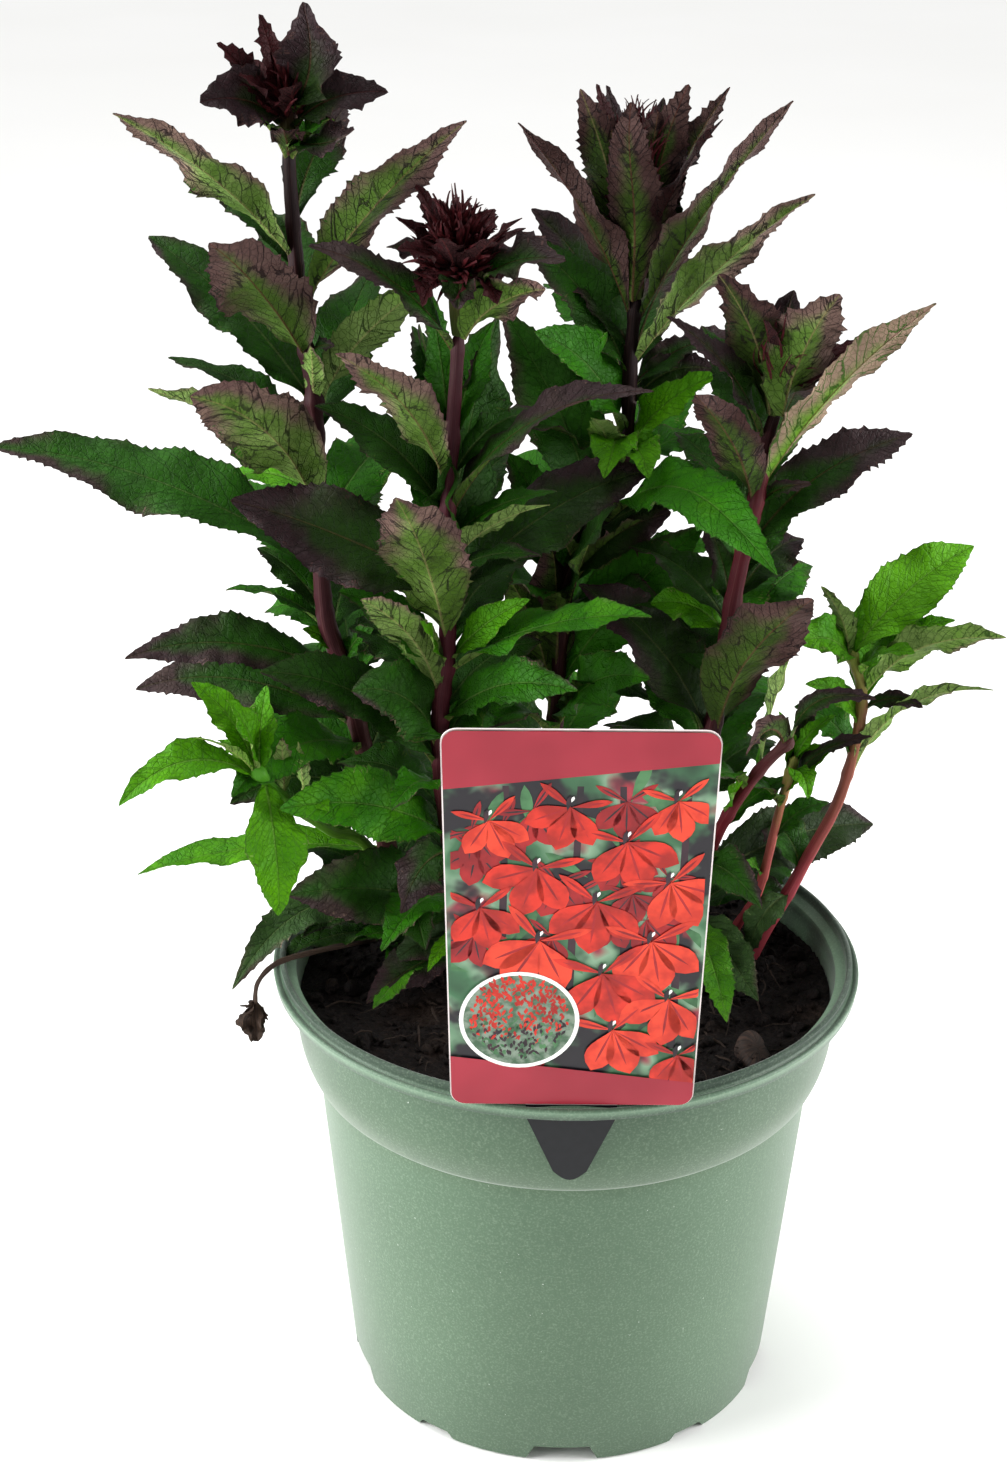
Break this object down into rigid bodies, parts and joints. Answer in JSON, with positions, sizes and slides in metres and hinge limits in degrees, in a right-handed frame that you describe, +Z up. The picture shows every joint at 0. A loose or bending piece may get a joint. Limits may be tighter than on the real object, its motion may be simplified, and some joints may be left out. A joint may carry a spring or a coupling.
{
  "type": "potted fan scarlet lobelia",
  "caption": "Leafy bog perennial with upright dark stems, toothed purple and green leaves and dark bud heads, in a round nursery pot with a plant label at its rim.",
  "frame": {"origin": "centre of the pot's underside, on the pot's axis, in the plane that the pot stands on", "axes": "+Z up along the pot's axis, -Y towards the front, where the plant label stands, +X to the right as seen from the front"},
  "size_m": [0.281, 0.1815, 0.401],
  "materials": {
    "pot_plastic": "satin, slightly see-through sage green",
    "label_print": "glossy print on a thin sheet, dark grey tongue",
    "compost": "damp peat crumbs with bark and fibres",
    "dry_plant": "dry, wrinkled and brown",
    "stem_dark": "satin dark purple-brown with fine ribs",
    "stem_young": "satin pink-red to light green",
    "leaf_bronze": "satin purple-bronze, veined",
    "leaf_dark": "satin dark green, veined",
    "leaf_green": "satin mid green, veined",
    "leaf_pale": "matt pale underside with dark veins",
    "leaf_young": "satin bright green",
    "bud_maroon": "satin dark maroon"
  },
  "bodies": {
    "root": {"pot": "pot_plastic", "plant_label": "label_print", "soil": "compost", "root_stub": "dry_plant", "dry_leaf": "dry_plant", "stem_left": "stem_dark", "stem_front": "stem_dark", "stem_back": "stem_dark", "stem_right": "stem_dark", "stem_young_left": "stem_young", "stem_young_right": "stem_young", "stem_young_inner": "stem_young", "stem_young_middle": "stem_young", "leaf_left_01": "leaf_bronze", "leaf_left_02": "leaf_bronze", "leaf_left_03": "leaf_bronze", "leaf_left_04": "leaf_green", "leaf_left_05": "leaf_green", "leaf_left_06": "leaf_bronze", "leaf_left_07": "leaf_dark", "leaf_left_08": "leaf_dark", "leaf_left_09": "leaf_bronze", "leaf_left_10": "leaf_green", "leaf_left_11": "leaf_green", "leaf_front_01": "leaf_bronze", "leaf_front_02": "leaf_pale", "leaf_front_03": "leaf_dark", "leaf_front_04": "leaf_bronze", "leaf_front_05": "leaf_dark", "leaf_front_06": "leaf_dark", "leaf_front_07": "leaf_pale", "leaf_front_08": "leaf_young", "leaf_front_09": "leaf_green", "leaf_front_10": "leaf_dark", "leaf_front_11": "leaf_green", "leaf_front_12": "leaf_young", "leaf_front_13": "leaf_dark", "leaf_back_01": "leaf_bronze", "leaf_back_02": "leaf_bronze", "leaf_back_03": "leaf_dark", "leaf_back_04": "leaf_bronze", "leaf_back_05": "leaf_young", "leaf_back_06": "leaf_dark", "leaf_back_07": "leaf_young", "leaf_back_08": "leaf_green", "leaf_right_01": "leaf_green", "leaf_right_02": "leaf_bronze", "leaf_right_03": "leaf_bronze", "leaf_right_04": "leaf_bronze", "leaf_right_05": "leaf_bronze", "leaf_right_06": "leaf_bronze", "leaf_young_left_01": "leaf_young", "leaf_young_left_02": "leaf_young", "leaf_young_right_01": "leaf_young", "leaf_young_right_02": "leaf_pale", "leaf_young_inner_01": "leaf_dark", "bud_head_left": "bud_maroon", "bud_head_front": "bud_maroon", "bud_head_back": "bud_maroon", "bud_head_right": "bud_maroon"}
  },
  "joints": []
}
